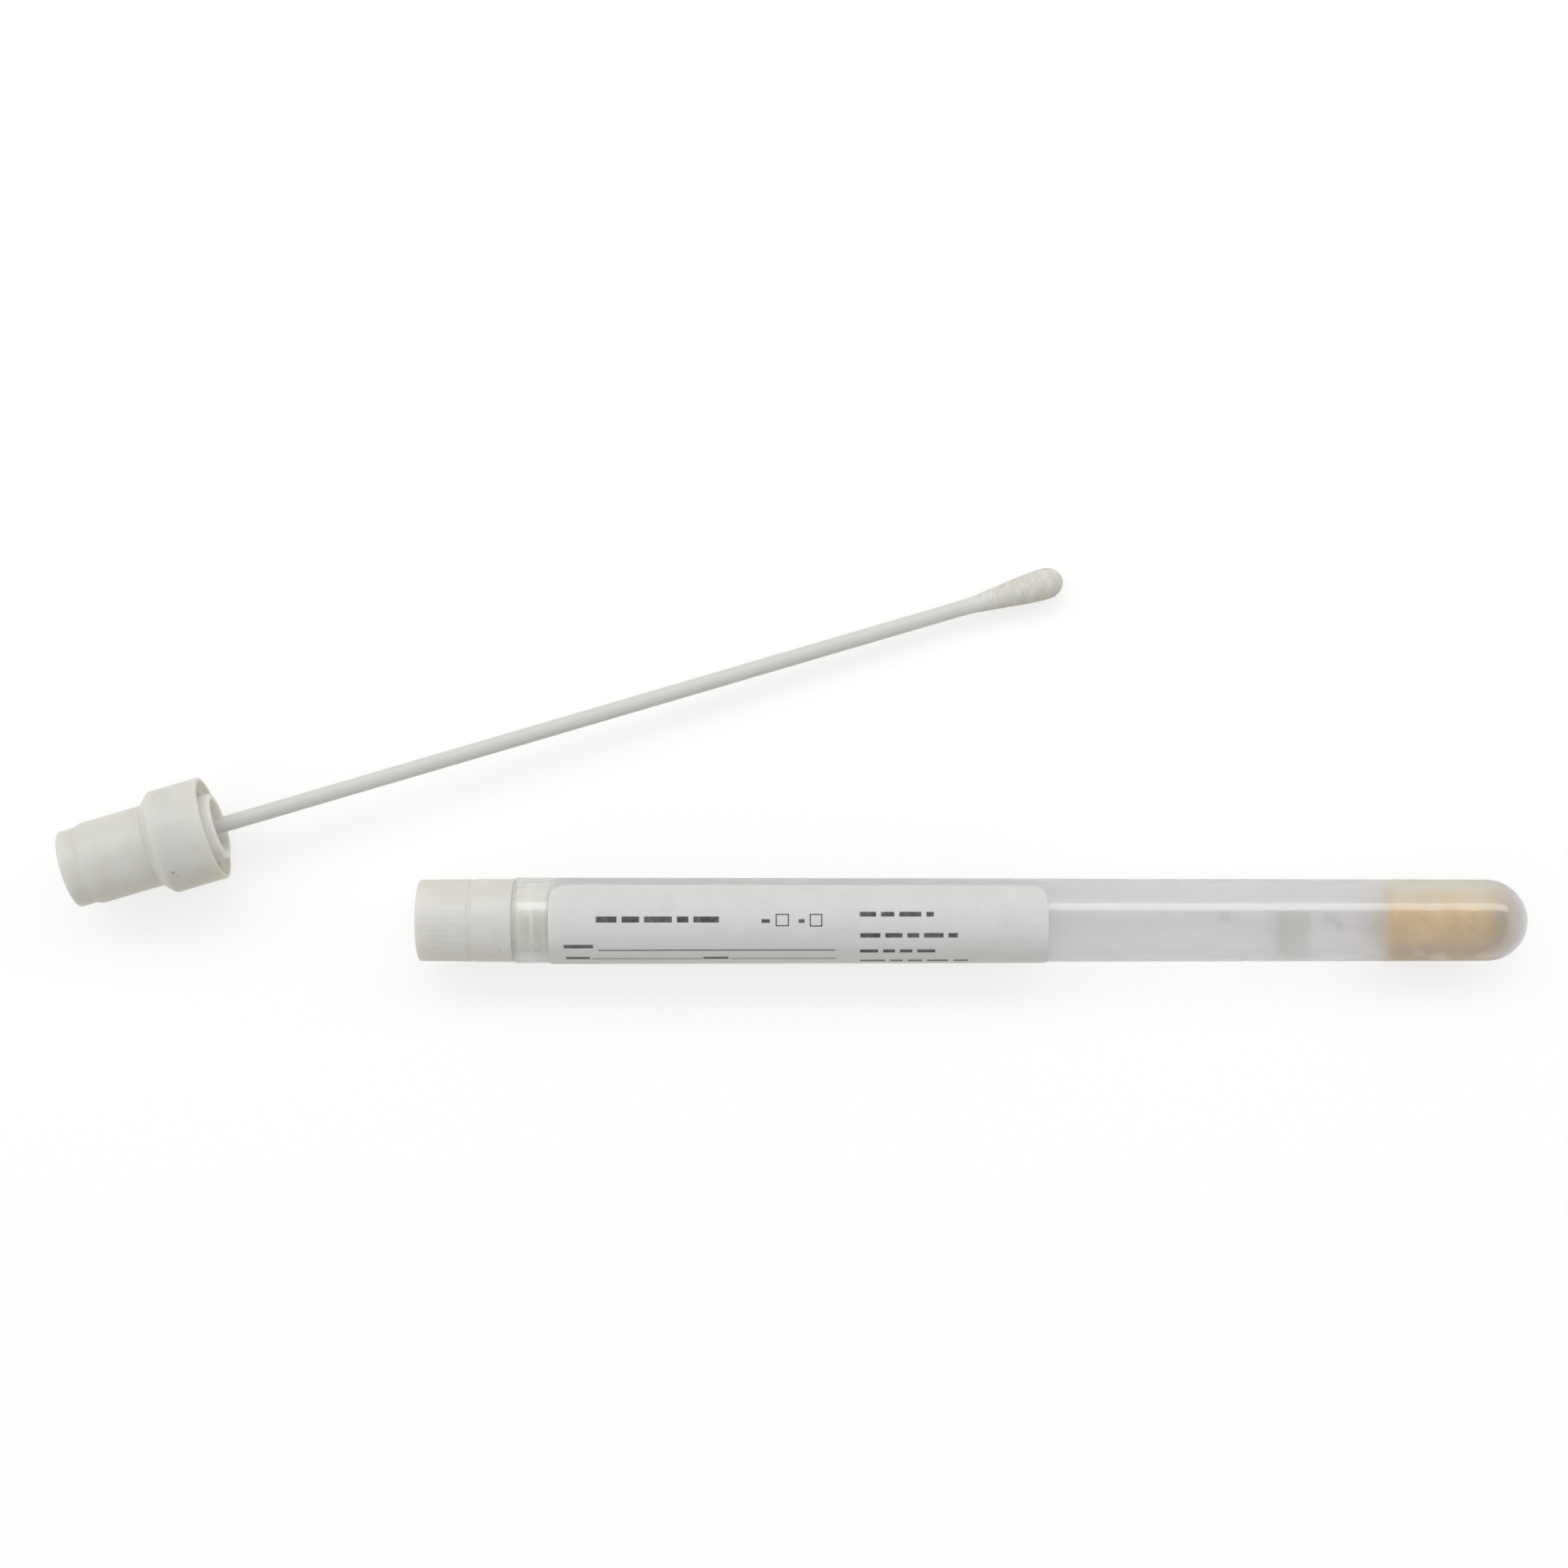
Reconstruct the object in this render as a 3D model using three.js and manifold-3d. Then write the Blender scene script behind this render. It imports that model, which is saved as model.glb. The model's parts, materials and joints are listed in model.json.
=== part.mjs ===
// Specimen swab tube: a round-bottomed transport tube lying on its side, closed by its stopper,
// with a label round it and a foam plug in its blind end. The capped swab that replaces the
// stopper after sampling lies beside it. Millimetres, +Z up, the tube's mouth towards -X.
import * as THREE from 'three';
import { mergeVertices } from 'three/addons/utils/BufferGeometryUtils.js';
import Module from 'manifold-3d';

// Tube, moulded with a draft from the mouth to the round end
const tubeLength = 154;
const mouthRadius = 6.5;
const domeRadius = 6.2;
const tubeWall = 1.0;
const rimRound = 0.2;

// Stopper
const headLength = 14.5;
const headEndRadius = 6.18;
const headRimRadius = 6.35;
const headEdgeRound = 0.3;
const gripLength = 7.8;
const ribCount = 40;
const ribHeight = 0.05;
const grooveWidth = 0.6;
const grooveDepth = 0.15;
const stopperPlugLength = 5.8;
const stopperEndWall = 2.0;
const shoulderGap = 0.1;

// Plug that enters the tube's mouth, alike on the stopper and the swab handle
const plugRadius = 5.16;
const plugWall = 0.95;
const plugLead = 0.3;
const sealRingCount = 3;
const firstSealRing = 0.95;
const sealRingPitch = 2.05;
const sealRingWidth = 0.9;
const sealClearance = 0.05;

// Label
const labelStart = 5.45;
const labelLength = 75;
const labelWidth = 32;
const labelCorner = 3;
const labelThickness = 0.12;
const labelGlue = 0.05;
const labelEdgeAngle = THREE.MathUtils.degToRad(57.6);

// Foam plug
const foamLength = 19.3;
const foamEndGap = 1.4;
const foamClearance = 0.15;
const foamEdgeRound = 0.7;

// Swab handle
const collarRadius = 5.95;
const collarLength = 2.55;
const collarEdgeRound = 0.3;
const collarStep = 0.95;
const swabGripRadius = 6.3;
const swabGripLength = 9.5;
const flareLength = 1.6;
const flareRound = 0.3;
const skirtLength = 7.85;
const skirtWall = 0.96;
const skirtClearance = 0.5;
const skirtEdgeRound = 0.3;
const skirtLeadIn = 0.4;
const skirtLeadInLength = 1.4;
const skirtGrooveDepth = 7.3;
const handlePlugProud = 1.0;
const handleEndWall = 2.0;
const bossRadius = 2.1;
const bossRecess = 1.3;
const webCount = 4;
const webThickness = 0.9;
const webRecess = 1.9;

// Swab shaft and its wound tip
const shaftRadius = 1.2;
const shaftSeatDepth = 12.5;
const shaftReach = 135.25;
const shaftClearance = 0.05;
const tipLength = 16.3;
const tipRadius = 2.42;
const tipNose = 2.8;
const tipNeckWall = 0.04;
const tipCover = 3.0;

// How the swab lies beside the tube
const swabTurn = THREE.MathUtils.degToRad(16.45);
const pullRoom = 31.2;
const sideRoom = 0.05;

// Smoothness of what is turned
const aroundSteps = 40;
const arcSteps = 3;
const cornerSteps = 6;
const domeSteps = 6;

const tubeRadiusAt = (x) => {
  const straight = tubeLength - domeRadius;
  return mouthRadius + (domeRadius - mouthRadius) * Math.min(x / straight, 1);
};
const boreRadiusAt = (x) => tubeRadiusAt(x) - tubeWall;
const plugCoreRadius = plugRadius - plugWall;
const handleLength = collarLength + collarStep + swabGripLength + flareLength + skirtLength;
const skirtBore = mouthRadius + skirtClearance;
const skirtRadius = skirtBore + skirtWall;
const swabLength = handleLength + shaftReach;

const wasm = await Module();
wasm.setup();

function toSolid(geometry) {
  const bare = geometry.clone();
  bare.deleteAttribute('normal');
  bare.deleteAttribute('uv');
  const merged = mergeVertices(bare, 1e-4);
  return new wasm.Manifold(new wasm.Mesh({
    numProp: 3,
    vertProperties: merged.getAttribute('position').array,
    triVerts: new Uint32Array(merged.index.array),
  }));
}

function toGeometry(solid) {
  const { numProp, vertProperties, triVerts } = solid.getMesh();
  const places = new THREE.InterleavedBuffer(vertProperties, numProp);
  const shared = new THREE.BufferGeometry();
  shared.setAttribute('position', new THREE.InterleavedBufferAttribute(places, 3, 0));
  shared.setIndex(new THREE.BufferAttribute(triVerts, 1));
  const geometry = shared.toNonIndexed();
  geometry.computeVertexNormals();
  return geometry;
}

// A profile is a list of [x, radius] pairs along the piece's axis, which lies along X.
function turned(profile) {
  const points = profile.map(([x, radius]) => new THREE.Vector2(Math.max(radius, 0), x));
  return new THREE.LatheGeometry(points, aroundSteps).rotateZ(-Math.PI / 2);
}

// Points on an ellipse about (x, radius), from one angle to another
function arc(x, radius, alongX, alongRadius, from, to, steps = arcSteps) {
  const points = [];
  for (let step = 0; step <= steps; step += 1) {
    const angle = THREE.MathUtils.degToRad(from + ((to - from) * step) / steps);
    points.push([x + alongX * Math.cos(angle), radius + alongRadius * Math.sin(angle)]);
  }
  return points;
}

// A rounded edge: a quarter circle of the given size about (x, radius)
function rounded(x, radius, size, from, to) {
  return arc(x, radius, size, size, from, to);
}

// The outside of a plug from its seat, where the tube's rim rests, to its leading edge
function plugSide(seat, length) {
  const points = [[seat, plugRadius]];
  for (let ring = 0; ring < sealRingCount; ring += 1) {
    const depth = firstSealRing + ring * sealRingPitch;
    const height = boreRadiusAt(depth) - sealClearance - plugRadius;
    points.push(...arc(seat + depth, plugRadius, sealRingWidth / 2, height, 180, 0));
  }
  points.push([seat + length - plugLead, plugRadius], [seat + length, plugRadius - plugLead]);
  return points;
}

function buildTube() {
  const domeStart = tubeLength - domeRadius;
  const boreEnd = domeRadius - tubeWall;
  const innerLip = boreRadiusAt(0) + rimRound;
  return turned([
    ...arc(domeStart, 0, boreEnd, boreEnd, 0, 90, domeSteps),
    [rimRound, boreRadiusAt(rimRound)],
    ...rounded(rimRound, innerLip, rimRound, 270, 180),
    ...rounded(rimRound, mouthRadius - rimRound, rimRound, 180, 90),
    ...arc(domeStart, 0, domeRadius, domeRadius, 90, 0, domeSteps),
  ]);
}

// Ribs run along the grip. They stand on a sleeve that is sunk below the grip's surface.
function ribbedSleeve(rootRadius, length) {
  const outline = new THREE.Shape();
  const pitch = (2 * Math.PI) / ribCount;
  const corners = [[-0.3, -ribHeight], [-0.15, ribHeight], [0.15, ribHeight], [0.3, -ribHeight]];
  for (let rib = 0; rib < ribCount; rib += 1) {
    for (const [share, height] of corners) {
      const angle = (rib + share) * pitch;
      const radius = rootRadius + height;
      const move = rib === 0 && share === corners[0][0] ? 'moveTo' : 'lineTo';
      outline[move](radius * Math.cos(angle), radius * Math.sin(angle));
    }
  }
  outline.closePath();
  const sunk = new THREE.Path();
  sunk.absarc(0, 0, (rootRadius + plugCoreRadius) / 2, 0, 2 * Math.PI, true);
  outline.holes.push(sunk);
  return new THREE.ExtrudeGeometry(outline, {
    depth: length, bevelEnabled: false, curveSegments: aroundSteps,
  }).rotateY(Math.PI / 2);
}

function buildStopper() {
  const seat = -shoulderGap;
  const end = seat - headLength;
  const gripEnd = end + gripLength;
  const draft = (headRimRadius - headEndRadius) / headLength;
  const headRadiusAt = (x) => headEndRadius + draft * (x - end);
  const rootRadiusAt = (x) => headRadiusAt(x) - ribHeight;
  const coreFloor = end + stopperEndWall;
  const body = turned([
    [end, 0],
    ...rounded(end + headEdgeRound, rootRadiusAt(end) - headEdgeRound, headEdgeRound, 180, 90),
    [gripEnd, rootRadiusAt(gripEnd)],
    [gripEnd, headRadiusAt(gripEnd) - grooveDepth],
    [gripEnd + grooveWidth, headRadiusAt(gripEnd) - grooveDepth],
    [gripEnd + grooveWidth, headRadiusAt(gripEnd + grooveWidth)],
    [seat - rimRound, headRimRadius],
    [seat, headRimRadius - rimRound],
    ...plugSide(seat, stopperPlugLength),
    [seat + stopperPlugLength, plugCoreRadius],
    [coreFloor, plugCoreRadius],
    [coreFloor, 0],
  ]);
  const sleeve = ribbedSleeve(rootRadiusAt(end), gripLength - headEdgeRound);
  const places = sleeve.getAttribute('position');
  for (let corner = 0; corner < places.count; corner += 1) {
    const growth = 1 + (draft * places.getX(corner)) / headEndRadius;
    places.setY(corner, places.getY(corner) * growth);
    places.setZ(corner, places.getZ(corner) * growth);
  }
  sleeve.translate(end + headEdgeRound, 0, 0);
  return toGeometry(toSolid(body).add(toSolid(sleeve)));
}

// Evenly spaced values from one number to another, both ends included
function spread(from, to, steps) {
  return Array.from({ length: steps + 1 }, (_, step) => from + ((to - from) * step) / steps);
}

// A sheet with rounded corners bent round the tube: an inner and an outer grid joined at the edges.
// Only the border rows follow the rounded corners; the rows between run straight along the tube.
function buildLabel() {
  const stations = spread(0, Math.PI / 2, cornerSteps).map((angle) => ({
    along: labelCorner * (1 - Math.cos(angle)),
    inset: labelCorner * (1 - Math.sin(angle)),
  }));
  stations.push(...stations.map(({ along, inset }) => ({ along: labelLength - along, inset })).reverse());
  const stepAcross = (2 * Math.PI * mouthRadius) / aroundSteps;
  const innerRows = Math.ceil((labelWidth - 2 * labelCorner) / stepAcross);
  const borderRows = Math.ceil(labelCorner / stepAcross);
  const rowsAcross = (inset) => [
    ...spread(inset, labelCorner, borderRows).slice(0, -1),
    ...spread(labelCorner, labelWidth - labelCorner, innerRows),
    ...spread(labelWidth - labelCorner, labelWidth - inset, borderRows).slice(1),
  ];
  const places = [];
  for (const lift of [labelGlue, labelGlue + labelThickness]) {
    for (const { along, inset } of stations) {
      const x = labelStart + along;
      const radius = tubeRadiusAt(x) + lift;
      for (const across of rowsAcross(inset)) {
        const angle = across / mouthRadius - labelEdgeAngle;
        places.push(x, -radius * Math.sin(angle), radius * Math.cos(angle));
      }
    }
  }
  const rows = innerRows + 2 * borderRows;
  const columns = stations.length - 1;
  const corner = (layer, column, row) => (layer * (columns + 1) + column) * (rows + 1) + row;
  const faces = [];
  const quad = (a, b, c, d) => faces.push(a, b, c, a, c, d);
  for (let column = 0; column < columns; column += 1) {
    for (let row = 0; row < rows; row += 1) {
      const square = (layer) => [
        corner(layer, column, row), corner(layer, column, row + 1),
        corner(layer, column + 1, row + 1), corner(layer, column + 1, row),
      ];
      quad(...square(0).reverse());
      quad(...square(1));
    }
  }
  const rim = [
    ...spread(0, columns - 1, columns - 1).map((column) => [column, 0]),
    ...spread(0, rows - 1, rows - 1).map((row) => [columns, row]),
    ...spread(columns, 1, columns - 1).map((column) => [column, rows]),
    ...spread(rows, 1, rows - 1).map((row) => [0, row]),
  ];
  rim.forEach((place, index) => {
    const next = rim[(index + 1) % rim.length];
    quad(corner(1, ...place), corner(1, ...next), corner(0, ...next), corner(0, ...place));
  });
  const sheet = new THREE.BufferGeometry();
  sheet.setAttribute('position', new THREE.Float32BufferAttribute(places, 3));
  sheet.setIndex(faces);
  return toGeometry(toSolid(sheet));
}

function buildFoamPlug() {
  const end = tubeLength - tubeWall - foamEndGap;
  const start = end - foamLength;
  const radius = boreRadiusAt(end) - foamClearance;
  const faceRadius = boreRadiusAt(start) - foamClearance;
  return turned([
    [start, 0],
    ...rounded(start + foamEdgeRound, faceRadius - foamEdgeRound, foamEdgeRound, 180, 90),
    ...arc(end - radius, 0, radius, radius, 90, 0, domeSteps),
  ]);
}

// A web braces the boss that grips the shaft against the wall of the hollow plug.
function buildWeb(from, to, angle) {
  const span = (plugCoreRadius + plugRadius) / 2;
  return new THREE.BoxGeometry(to - from, span, webThickness)
    .translate((from + to) / 2, span / 2, 0)
    .rotateX(angle);
}

function buildSwabHandle() {
  const gripStart = collarLength + collarStep;
  const flareStart = gripStart + swabGripLength;
  const skirtStart = flareStart + flareLength;
  const rimStart = handleLength - skirtEdgeRound;
  const grooveFloor = handleLength - skirtGrooveDepth;
  const plugLength = skirtGrooveDepth + handlePlugProud;
  const plugEnd = grooveFloor + plugLength;
  const coreFloor = handleEndWall;
  const bossEnd = plugEnd - bossRecess;
  const seatRadius = shaftRadius + shaftClearance;
  const seatFloor = handleLength - shaftSeatDepth - shaftClearance;
  const flareSlope = (skirtRadius - swabGripRadius) / flareLength;
  const body = turned([
    [0, 0],
    ...rounded(collarEdgeRound, collarRadius - collarEdgeRound, collarEdgeRound, 180, 90),
    [collarLength, collarRadius],
    [gripStart, swabGripRadius],
    [flareStart, swabGripRadius],
    [skirtStart - flareRound, skirtRadius - flareRound * flareSlope],
    [skirtStart + flareRound, skirtRadius],
    ...rounded(rimStart, skirtRadius - skirtEdgeRound, skirtEdgeRound, 90, 0),
    [handleLength, skirtBore + skirtLeadIn],
    [handleLength - skirtLeadInLength, skirtBore],
    [grooveFloor, skirtBore],
    ...plugSide(grooveFloor, plugLength),
    [plugEnd, plugCoreRadius],
    [coreFloor, plugCoreRadius],
    [coreFloor, bossRadius],
    [bossEnd, bossRadius],
    [bossEnd, seatRadius],
    [seatFloor, seatRadius],
    [seatFloor, 0],
  ]);
  const shaftHole = toSolid(turned([
    [seatFloor, 0],
    [seatFloor, seatRadius],
    [plugEnd, seatRadius],
    [plugEnd, 0],
  ]));
  let handle = toSolid(body);
  for (let web = 0; web < webCount; web += 1) {
    const angle = (web * 2 * Math.PI) / webCount;
    const brace = toSolid(buildWeb(coreFloor - webThickness, plugEnd - webRecess, angle));
    handle = handle.add(brace.subtract(shaftHole));
  }
  return toGeometry(handle);
}

function buildSwabShaft() {
  const start = handleLength - shaftSeatDepth;
  const end = swabLength - tipCover;
  return new THREE.CylinderGeometry(shaftRadius, shaftRadius, end - start, aroundSteps / 2)
    .rotateZ(-Math.PI / 2)
    .translate((start + end) / 2, 0, 0);
}

// Fibre wound thin at the neck, swelling in one smooth curve to the round nose
function buildSwabTip() {
  const start = swabLength - tipLength;
  const noseStart = swabLength - tipNose;
  const boreRadius = shaftRadius + shaftClearance;
  const neckRadius = boreRadius + tipNeckWall;
  const boreEnd = swabLength - tipCover + shaftClearance;
  const swell = new THREE.CubicBezierCurve(
    new THREE.Vector2(start, neckRadius),
    new THREE.Vector2(start + 0.35 * (noseStart - start), neckRadius),
    new THREE.Vector2(noseStart - 0.3 * (noseStart - start), tipRadius),
    new THREE.Vector2(noseStart, tipRadius),
  );
  return turned([
    [boreEnd, 0],
    [boreEnd, boreRadius],
    [start, boreRadius],
    ...swell.getPoints(domeSteps).map((point) => [point.x, point.y]),
    ...arc(noseStart, 0, tipNose, tipRadius, 90, 0, domeSteps).slice(1),
  ]);
}

function finish(color, roughness) {
  return new THREE.MeshStandardMaterial({ color, roughness, metalness: 0 });
}

function part(name, geometry, material) {
  const mesh = new THREE.Mesh(geometry, material);
  mesh.name = name;
  return mesh;
}

// A turned piece lying on two of its circles dips from the wide one to the narrow one.
function layDown(group, wide, narrow) {
  const dip = Math.atan2(wide.radius - narrow.radius, narrow.x - wide.x);
  group.rotation.order = 'ZYX';
  group.rotation.y = dip;
  group.position.z = wide.x * Math.sin(dip) + wide.radius * Math.cos(dip);
}

const tubeSet = new THREE.Group();
const tubeFinish = finish(0xcfcdd2, 0.25);
tubeFinish.transparent = true;
tubeFinish.opacity = 0.4;
tubeSet.add(
  part('tube', buildTube(), tubeFinish),
  part('stopper', buildStopper(), finish(0xdad9d5, 0.45)),
  part('label', buildLabel(), finish(0xd8d7d6, 0.6)),
  part('foam_plug', buildFoamPlug(), finish(0xc8b496, 0.95)),
);
// The closed tube lies on its label, between the rounded corners.
const labelCircle = (x) => ({ x, radius: tubeRadiusAt(x) + labelGlue + labelThickness });
layDown(
  tubeSet,
  labelCircle(labelStart + labelCorner),
  labelCircle(labelStart + labelLength - labelCorner),
);

const swab = new THREE.Group();
swab.add(
  part('swab_handle', buildSwabHandle(), finish(0xdad9d5, 0.45)),
  part('swab_shaft', buildSwabShaft(), finish(0xe0dfdc, 0.4)),
  part('swab_tip', buildSwabTip(), finish(0xe6e4df, 0.95)),
);
layDown(
  swab,
  { x: handleLength - skirtEdgeRound, radius: skirtRadius },
  { x: swabLength - tipNose, radius: tipRadius },
);
swab.rotation.z = swabTurn;
swab.position.x = -(shoulderGap + headLength + pullRoom + handleLength * Math.cos(swabTurn));
swab.position.y = mouthRadius + sideRoom + skirtRadius * Math.cos(swabTurn)
  - handleLength * Math.sin(swabTurn);

const swabTube = new THREE.Group();
swabTube.add(tubeSet, swab);
const box = new THREE.Box3().setFromObject(swabTube, true);
const middle = box.getCenter(new THREE.Vector3());
swabTube.position.set(-middle.x, -middle.y, -box.min.z);

export default swabTube;
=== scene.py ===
import json
import math
import random

import bmesh
import bpy
from mathutils import Matrix, Vector, noise


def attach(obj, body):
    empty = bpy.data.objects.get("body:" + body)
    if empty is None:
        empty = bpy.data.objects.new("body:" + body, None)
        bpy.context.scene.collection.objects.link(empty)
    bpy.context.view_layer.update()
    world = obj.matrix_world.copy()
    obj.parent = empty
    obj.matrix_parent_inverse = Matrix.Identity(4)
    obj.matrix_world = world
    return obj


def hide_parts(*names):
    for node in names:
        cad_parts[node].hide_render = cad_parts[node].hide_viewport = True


# A swab transport set on a pale table: the stoppered tube with its label and foam,
# and the capped swab that takes the stopper's place, lying beside it.
# Pieces are drawn in millimetres along their own axis, then laid where the frame has them.

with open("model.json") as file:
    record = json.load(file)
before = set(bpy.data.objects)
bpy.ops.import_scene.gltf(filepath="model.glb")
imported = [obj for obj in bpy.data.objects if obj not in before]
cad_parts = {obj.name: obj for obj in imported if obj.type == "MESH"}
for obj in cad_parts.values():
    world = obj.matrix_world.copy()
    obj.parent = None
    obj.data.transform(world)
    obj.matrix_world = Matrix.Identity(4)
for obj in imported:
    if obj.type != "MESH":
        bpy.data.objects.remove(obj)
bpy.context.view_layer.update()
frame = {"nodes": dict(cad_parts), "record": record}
mm = 0.001
fullTurn = 2 * math.pi
print("frame loaded:", ", ".join(sorted(frame["nodes"])))


# where the two turned sets lie

def layAlong(mountName, faceAt):
    # X runs into the set from the mount's face, which is at faceAt on that axis, and Z stays up
    mount = {each["name"]: each for each in frame["record"]["mounts"]}[mountName]
    along = -Vector(mount["axis"]).normalized()
    side = Vector((0, 0, 1)).cross(along).normalized()
    turn = Matrix((along, side, along.cross(side))).transposed()
    origin = Vector(mount["pos_m"]) - along * faceAt * mm
    place = Matrix.Translation(origin) @ turn.to_4x4() @ Matrix.Scale(mm, 4)
    return {"origin": origin, "turn": turn.to_euler(), "place": place}


stopperEndAt = -14.6
tubeSeat = layAlong("stopper_end", stopperEndAt)
swabSeat = layAlong("swab_handle_end", 0)


# node trees written as arithmetic

def feed(tree, socket, value):
    if isinstance(value, Signal):
        tree.links.new(value.socket, socket)
    elif socket.type == "RGBA" and len(value) == 3:
        socket.default_value = (*value, 1)
    else:
        socket.default_value = value


class Signal:
    # one output of a node, for plain arithmetic in shader and geometry trees
    def __init__(self, tree, socket=None):
        self.tree = tree
        self.socket = socket

    def node(self, kind, settings=None, inputs=None, output=0):
        made = self.tree.nodes.new(kind)
        for key, value in (settings or {}).items():
            setattr(made, key, value)
        for key, value in (inputs or {}).items():
            feed(self.tree, made.inputs[key], value)
        return Signal(self.tree, made.outputs[output])

    def maths(self, operation, *others):
        return self.node("ShaderNodeMath", {"operation": operation}, dict(enumerate((self, *others))))

    def split(self):
        parts = self.tree.nodes.new("ShaderNodeSeparateXYZ")
        self.tree.links.new(self.socket, parts.inputs[0])
        return [Signal(self.tree, output) for output in parts.outputs]

    def __add__(self, other):
        return self.maths("ADD", other)

    def __sub__(self, other):
        return self.maths("SUBTRACT", other)

    def __rsub__(self, other):
        return self.node("ShaderNodeMath", {"operation": "SUBTRACT"}, {0: other, 1: self})

    def __mul__(self, other):
        return self.maths("MULTIPLY", other)

    def __truediv__(self, other):
        return self.maths("DIVIDE", other)

    __radd__ = __add__
    __rmul__ = __mul__


def rise(value, low, high):
    settings = {"interpolation_type": "SMOOTHSTEP"}
    return value.node("ShaderNodeMapRange", settings, {0: value, 1: low, 2: high})


def band(value, middle, half, edge):
    # 1 within half of the middle, falling to 0 over the edge's width
    return 1 - rise((value - middle).maths("ABSOLUTE"), half, half + edge)


def lengthOf(*parts):
    return sum(part * part for part in parts).maths("SQRT")


def mixed(factor, first, second):
    return factor.node("ShaderNodeMix", {"data_type": "RGBA"}, {0: factor, 6: first, 7: second}, output=2)


def stretched(vector, scale):
    return vector.node("ShaderNodeVectorMath", {"operation": "MULTIPLY"}, {0: vector, 1: scale})


def grain(vector, scale, detail=2.0, rough=0.5):
    inputs = {"Vector": vector, "Scale": scale, "Detail": detail, "Roughness": rough}
    return vector.node("ShaderNodeTexNoise", None, inputs)


def cells(vector, scale, feature="F1"):
    inputs = {"Vector": vector, "Scale": scale}
    return vector.node("ShaderNodeTexVoronoi", {"feature": feature}, inputs, "Distance")


def awayFrom(spot, place, angle, radius):
    # how far the spot is from a point beside the axis, turned by the angle
    turn = math.radians(angle)
    centre = (place, -radius * math.sin(turn), radius * math.cos(turn))
    return spot.node("ShaderNodeVectorMath", {"operation": "DISTANCE"}, {0: spot, 1: centre}, "Value")


def askingRays(tree):
    # the kinds of ray that ask, and all that the eye sees, straight or by way of a surface
    path = tree.nodes.new("ShaderNodeLightPath")
    kinds = ("Camera", "Glossy", "Transmission")
    rays = {kind: Signal(tree, path.outputs["Is " + kind + " Ray"]) for kind in kinds}
    rays["seen"] = rays["Camera"].maths("MAXIMUM", rays["Glossy"]).maths("MAXIMUM", rays["Transmission"])
    return rays


def startMaterial(name, **constants):
    material = bpy.data.materials.new(name)
    material.use_nodes = True
    shader = material.node_tree.nodes["Principled BSDF"]
    for key, value in constants.items():
        shader.inputs[key.replace("_", " ")].default_value = value
    return material, Signal(material.node_tree)


def localPlace(start, seat):
    # millimetres along and across the piece's own axis
    place = start.node("ShaderNodeTexCoord", output="Object")
    inputs = {"Vector": place, "Location": seat["origin"], "Rotation": seat["turn"], "Scale": (mm, mm, mm)}
    return start.node("ShaderNodeMapping", {"vector_type": "TEXTURE"}, inputs)


def dress(material, height, depth, **surface):
    # the bump stands depth millimetres high where its height is 1
    shader = material.node_tree.nodes["Principled BSDF"]
    for key, value in surface.items():
        feed(material.node_tree, shader.inputs[key.replace("_", " ")], value)
    bump = height.node("ShaderNodeBump", None, {"Height": height, "Distance": depth * mm, "Strength": 1.0})
    feed(material.node_tree, shader.inputs["Normal"], bump)
    return material


# meshes turned about X, and how a piece is finished

def arc(x, radius, alongX, alongRadius, start, end, steps=8):
    points = []
    for step in range(steps + 1):
        angle = math.radians(start + (end - start) * step / steps)
        points.append((x + alongX * math.cos(angle), radius + alongRadius * math.sin(angle)))
    return points


def softened(corners, steps=5):
    # corners are (x, radius) or (x, radius, size of the round there)
    points = []
    corners = [each for each, after in zip(corners, corners[1:] + [(math.inf, 0)])
               if math.dist(each[:2], after[:2]) > 1e-6]
    for index, corner in enumerate(corners):
        if len(corner) == 2 or corner[2] == 0:
            points.append(Vector(corner[:2]))
            continue
        here = Vector(corner[:2])
        back = (Vector(corners[index - 1][:2]) - here).normalized()
        on = (Vector(corners[index + 1][:2]) - here).normalized()
        half = back.angle(on) / 2
        reach = corner[2] / math.tan(half)
        centre = here + (back + on).normalized() * corner[2] / math.sin(half)
        first = here + back * reach - centre
        last = here + on * reach - centre
        for step in range(steps + 1):
            share = step / steps
            spoke = first.lerp(last, share).normalized() * corner[2]
            points.append(centre + spoke)
    return [tuple(point) for point in points]


def divided(profile, longest):
    points = [profile[0]]
    for start, end in zip(profile, profile[1:]):
        parts = max(1, math.ceil(math.dist(start, end) / longest))
        for part in range(1, parts + 1):
            points.append(tuple(a + (b - a) * part / parts for a, b in zip(start, end)))
    return points


def turned(profile, around):
    # a closed solid of revolution whose profile starts and ends on the axis
    made = bmesh.new()
    rings = []
    for x, radius in profile:
        if radius < 1e-6:
            rings.append([made.verts.new((x, 0, 0))])
            continue
        angles = [fullTurn * step / around for step in range(around)]
        rings.append([made.verts.new((x, -radius * math.sin(a), radius * math.cos(a))) for a in angles])
    for first, second in zip(rings, rings[1:]):
        for step in range(around):
            after = (step + 1) % around
            if len(first) == 1:
                made.faces.new((first[0], second[step], second[after]))
            elif len(second) == 1:
                made.faces.new((first[step], second[0], first[after]))
            else:
                made.faces.new((first[step], second[step], second[after], first[after]))
    bmesh.ops.recalc_face_normals(made, faces=made.faces)
    return made


def makePiece(name, made, material):
    mesh = bpy.data.meshes.new(name)
    made.to_mesh(mesh)
    made.free()
    mesh.materials.append(material)
    piece = bpy.data.objects.new(name, mesh)
    bpy.context.scene.collection.objects.link(piece)
    return piece


def layPiece(piece, seat, sharp=32):
    piece.data.transform(seat["place"])
    piece.data.shade_smooth()
    piece.data.set_sharp_from_angle(angle=math.radians(sharp))
    return piece


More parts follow.
